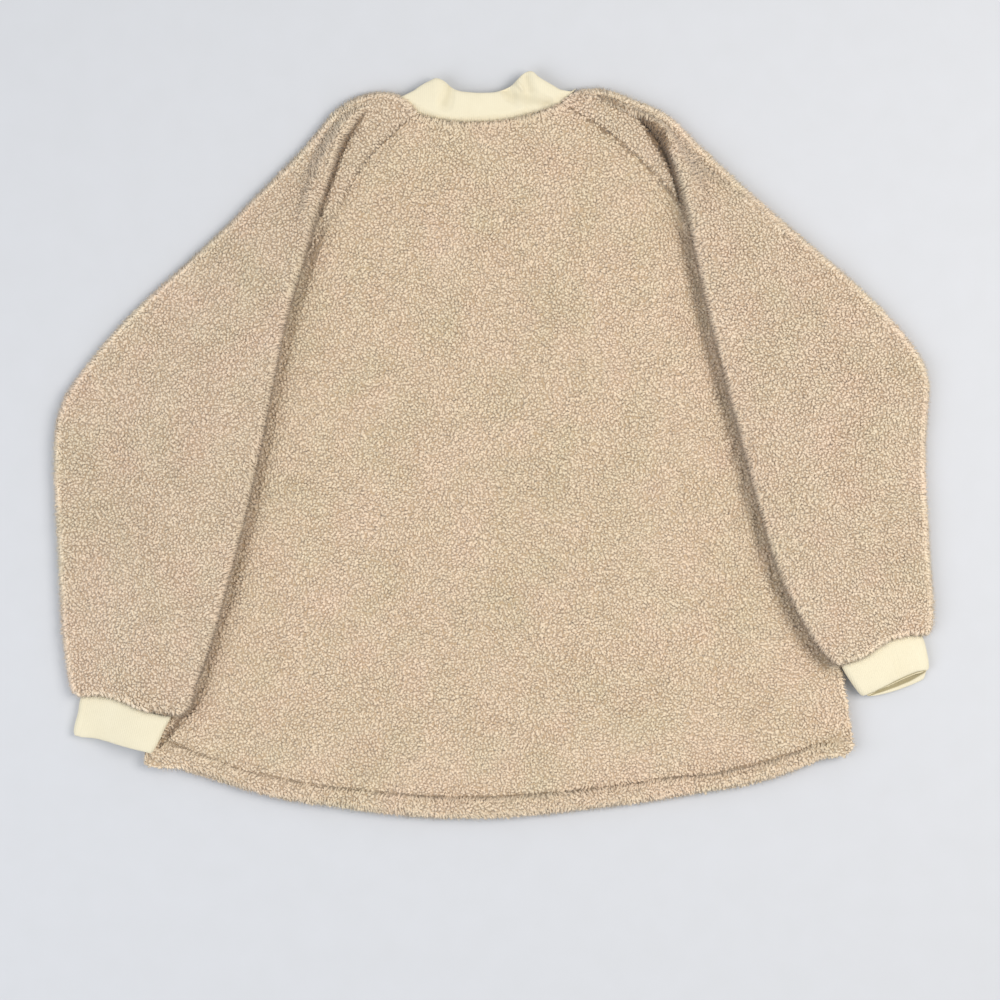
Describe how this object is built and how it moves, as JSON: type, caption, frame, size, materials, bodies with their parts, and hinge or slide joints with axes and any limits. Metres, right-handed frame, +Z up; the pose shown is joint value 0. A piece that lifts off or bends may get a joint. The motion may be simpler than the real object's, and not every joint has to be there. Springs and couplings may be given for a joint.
{
  "type": "sherpa bomber jacket",
  "caption": "Hip-length sherpa fleece bomber jacket laid flat face down, raglan sleeves folded down over the back, rib-knit collar and cuffs.",
  "frame": {"origin": "on the resting plane, under the middle of the jacket's box", "axes": "+X towards the wearer's right, +Y towards the neck, +Z up out of the back"},
  "size_m": [0.8762, 0.7442, 0.0332],
  "materials": {
    "sherpa_body": "curled sherpa pile",
    "sherpa_sleeve": "curled sherpa pile",
    "rib_knit": "fine 1x1 rib knit",
    "zip": "moulded zip chain on woven tape"
  },
  "bodies": {
    "root": {"back": "sherpa_body", "front_left": "sherpa_body", "front_right": "sherpa_body", "sleeve_left": "sherpa_sleeve", "sleeve_right": "sherpa_sleeve", "collar": "rib_knit", "cuff_left": "rib_knit", "cuff_right": "rib_knit", "zip": "zip"}
  },
  "joints": []
}
